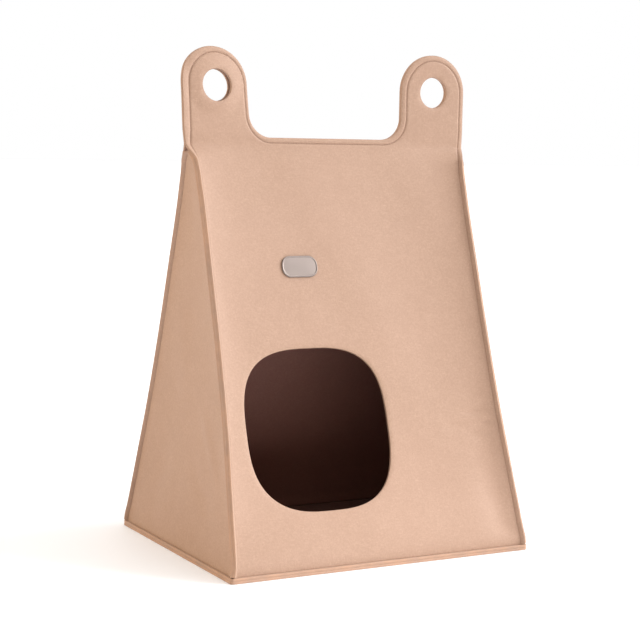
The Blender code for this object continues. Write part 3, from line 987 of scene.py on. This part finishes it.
def felt_material():
    """Needled felt of short fibres. Its raw edges have their own tone, with painted shade on them
    and painted light at the corners; painted shade darkens the seams' grooves and the inner faces.
    """
    n = Nodes("needled_felt")
    place = n.add("ShaderNodeTexCoord").outputs["Object"]
    fibre = 0.0
    for turn, stretch in FIBRE_LAYS:
        turned = n.add("ShaderNodeMapping", Vector=place, Rotation=turn, Scale=stretch)
        laid = n.noise(turned.outputs["Vector"], FIBRE_SCALE, 2.0, 0.55)
        fibre = n.math("MAXIMUM", laid, fibre)
    tuft = n.noise(place, TUFT_SCALE, 3.0, 0.6)
    cloud = n.noise(place, CLOUD_SCALE, 3.0, 0.5)
    broad = n.noise(place, BROAD_SCALE, 2.0, 0.5)

    light = n.ramp(fibre, 0.50, 0.74)
    colour = n.mix(light, FELT_COLOUR, FELT_LIGHT)
    dark = n.ramp(tuft, 0.35, 0.60, DARK_SHARE, 0.0)
    colour = n.mix(dark, colour, FELT_DARK)
    shade = n.ramp(cloud, 0.3, 0.7, 0.0, CLOUD_SHARE)
    colour = n.mix(shade, colour, FELT_DARK)
    warm = n.ramp(broad, 0.35, 0.65, 0.0, WARM_SHARE)
    colour = n.mix(warm, colour, FELT_WARM)
    # raw edges take their own tone, darkened by painted shade on the ears, the top and the doorway
    cut = n.ramp(n.value("edge"), 0.0, CUT_REACH, CUT_SHARE, 0.0)
    patches = n.ramp(n.noise(place, CUT_SCALE, 4.0, 0.6), 0.30, 0.70)
    # painted light: below the shoulders the raw edges take a lighter copy of their colour, in
    # patches with the felt's own
    lit_cut_patches = n.mix(patches, LOW_CUT_TONE_AND_LIGHT, FELT_COLOUR)
    colour = n.mix(cut, colour, n.mix(n.value("lit_low_cut"), CUT_TONE_AND_SHADE, lit_cut_patches))
    # painted shade: the felt darkens in the pressed grooves of the seams
    groove_shade = n.ramp(n.value("press"), 0.3, 1.0, 0.0, SEAM_SHADE_SHARE)
    colour = n.mix(groove_shade, colour, SEAM_SHADE_COLOUR)
    # painted shade on the inner faces, standing for the shade inside the cave
    painted_inside_shade = n.mix(INSIDE_SHADE_SHARE, colour, INSIDE_SHADE_COLOUR, "MULTIPLY")
    colour = n.mix(n.value("inside"), colour, painted_inside_shade)
    n.connect(colour, "Base Color")

    height = n.math("ADD", n.math("MULTIPLY", fibre, 0.7), n.math("MULTIPLY", tuft, 0.3))
    bump = n.add("ShaderNodeBump", Height=height, **FELT_BUMP)
    n.connect(bump.outputs["Normal"], "Normal")
    n.shader.inputs["Roughness"].default_value = 0.62
    n.shader.inputs["Sheen Weight"].default_value = 0.10
    n.shader.inputs["Sheen Roughness"].default_value = 0.5
    n.shader.inputs["Specular IOR Level"].default_value = 0.5
    return n.material


def thread_material():
    """Spun thread, a little darker than the felt."""
    n = Nodes("spun_thread")
    place = n.add("ShaderNodeTexCoord").outputs["Object"]
    strands = n.noise(place, STRAND_SCALE, 1.0, 0.5)
    n.connect(n.mix(strands, THREAD_COLOUR, THREAD_LIGHT), "Base Color")
    bump = n.add("ShaderNodeBump", Height=strands, **THREAD_BUMP)
    n.connect(bump.outputs["Normal"], "Normal")
    n.shader.inputs["Roughness"].default_value = 0.6
    return n.material


def metal_material():
    """Satin metal, finely brushed along its length."""
    n = Nodes("satin_plate")
    place = n.add("ShaderNodeTexCoord").outputs["Object"]
    brushed = n.add("ShaderNodeMapping", Vector=place, Scale=BRUSH_STRETCH).outputs["Vector"]
    lines = n.noise(brushed, BRUSH_SCALE, 2.0, 0.6)
    n.connect(n.mix(lines, METAL_DARK, METAL_LIGHT), "Base Color")
    n.connect(n.ramp(lines, 0.3, 0.7, 0.40, 0.52), "Roughness")
    bump = n.add("ShaderNodeBump", Height=lines, **METAL_BUMP)
    n.connect(bump.outputs["Normal"], "Normal")
    n.shader.inputs["Metallic"].default_value = 1.0
    return n.material


# Stage -----------------------------------------------------------------------------------------

def make_camera():
    """Camera at the photograph's angle."""
    forward = Vector((
        math.sin(CAMERA_YAW) * math.cos(CAMERA_PITCH),
        math.cos(CAMERA_YAW) * math.cos(CAMERA_PITCH),
        -math.sin(CAMERA_PITCH),
    ))
    level = Vector((math.cos(CAMERA_YAW), -math.sin(CAMERA_YAW), 0))
    upward = level.cross(forward)
    right = level * math.cos(CAMERA_ROLL) + upward * math.sin(CAMERA_ROLL)
    upward = upward * math.cos(CAMERA_ROLL) - level * math.sin(CAMERA_ROLL)
    camera = bpy.data.objects.new("camera", bpy.data.cameras.new("camera"))
    camera.data.lens = CAMERA_LENS
    camera.data.sensor_width = 36
    camera.matrix_world = Matrix((right, upward, -forward)).transposed().to_4x4()
    camera.location = CAMERA_PLACE
    bpy.context.scene.collection.objects.link(camera)
    bpy.context.scene.camera = camera


def make_floor():
    """Pale floor that runs out of view and glows a little, so that shadows on it stay faint."""
    bpy.ops.mesh.primitive_plane_add(size=FLOOR_SIZE)
    floor = bpy.context.object
    floor.name = "floor"
    n = Nodes("pale_floor")
    place = n.add("ShaderNodeTexCoord").outputs["Object"]
    grain = n.noise(place, FLOOR_GRAIN)
    n.connect(n.mix(grain, FLOOR_DARK, FLOOR_LIGHT), "Base Color")
    n.shader.inputs["Roughness"].default_value = 1.0
    n.shader.inputs["Specular IOR Level"].default_value = 0.0
    n.shader.inputs["Emission Color"].default_value = FLOOR_GLOW_COLOUR
    n.shader.inputs["Emission Strength"].default_value = FLOOR_GLOW
    floor.data.materials.append(n.material)


def make_light():
    """A dim sky that gives light, a white background that is seen, broad lamps and a low one."""
    scene = bpy.context.scene
    scene.world = bpy.data.worlds.new("studio")
    scene.world.use_nodes = True
    tree = scene.world.node_tree
    seen = tree.nodes.new("ShaderNodeLightPath").outputs["Is Camera Ray"]
    colour = tree.nodes.new("ShaderNodeMix")
    colour.data_type = "RGBA"
    colour.inputs[6].default_value = SKY_COLOUR
    colour.inputs[7].default_value = BACKGROUND_COLOUR
    tree.links.new(seen, colour.inputs[0])
    tree.links.new(colour.outputs[2], tree.nodes["Background"].inputs["Color"])
    for name, place, strength, spread, tint in LAMPS:
        lamp = bpy.data.objects.new(name, bpy.data.lights.new(name, "SUN"))
        lamp.data.energy = strength
        lamp.data.angle = math.radians(spread)
        lamp.data.color = tint
        lamp.rotation_euler = Vector(place).to_track_quat("Z", "Y").to_euler()
        scene.collection.objects.link(lamp)
    low = bpy.data.objects.new("low", bpy.data.lights.new("low", "AREA"))
    low.data.shape = "RECTANGLE"
    low.data.size, low.data.size_y = LOW_LAMP_SIZE
    low.data.energy = LOW_LAMP_POWER
    low.visible_camera = False
    low.location = LOW_LAMP_PLACE
    away = Vector(LOW_LAMP_PLACE) - Vector(LOW_LAMP_AIM)
    low.rotation_euler = away.to_track_quat("Z", "Y").to_euler()
    scene.collection.objects.link(low)
    scene.view_settings.view_transform = "Standard"


def main():
    """Dress the whole cave."""
    make_camera()
    make_floor()
    make_light()
    felt = felt_material()
    thread = thread_material()
    holes = [ear_hole(-1)[::-1], ear_hole(1)[::-1]]
    openings = [doorway()[::-1], *holes]
    for name, face, cut_out in (("front", -1, openings), ("back", 1, holes)):
        make_wall(
            name, f"{name}_panel", panel_cut(), cut_out, panel_crease,
            lambda across, up, face=face: place_panel(face, across, up), face == 1, felt, thread,
        )
    for name, side in (("left", -1), ("right", 1)):
        make_wall(
            name, f"gusset_{name}", gusset_cut(), [], gusset_crease,
            lambda across, up, side=side: place_gusset(side, across, up), side == -1, felt, thread,
        )
    make_base(felt, thread)
    make_badge(metal_material())


main()
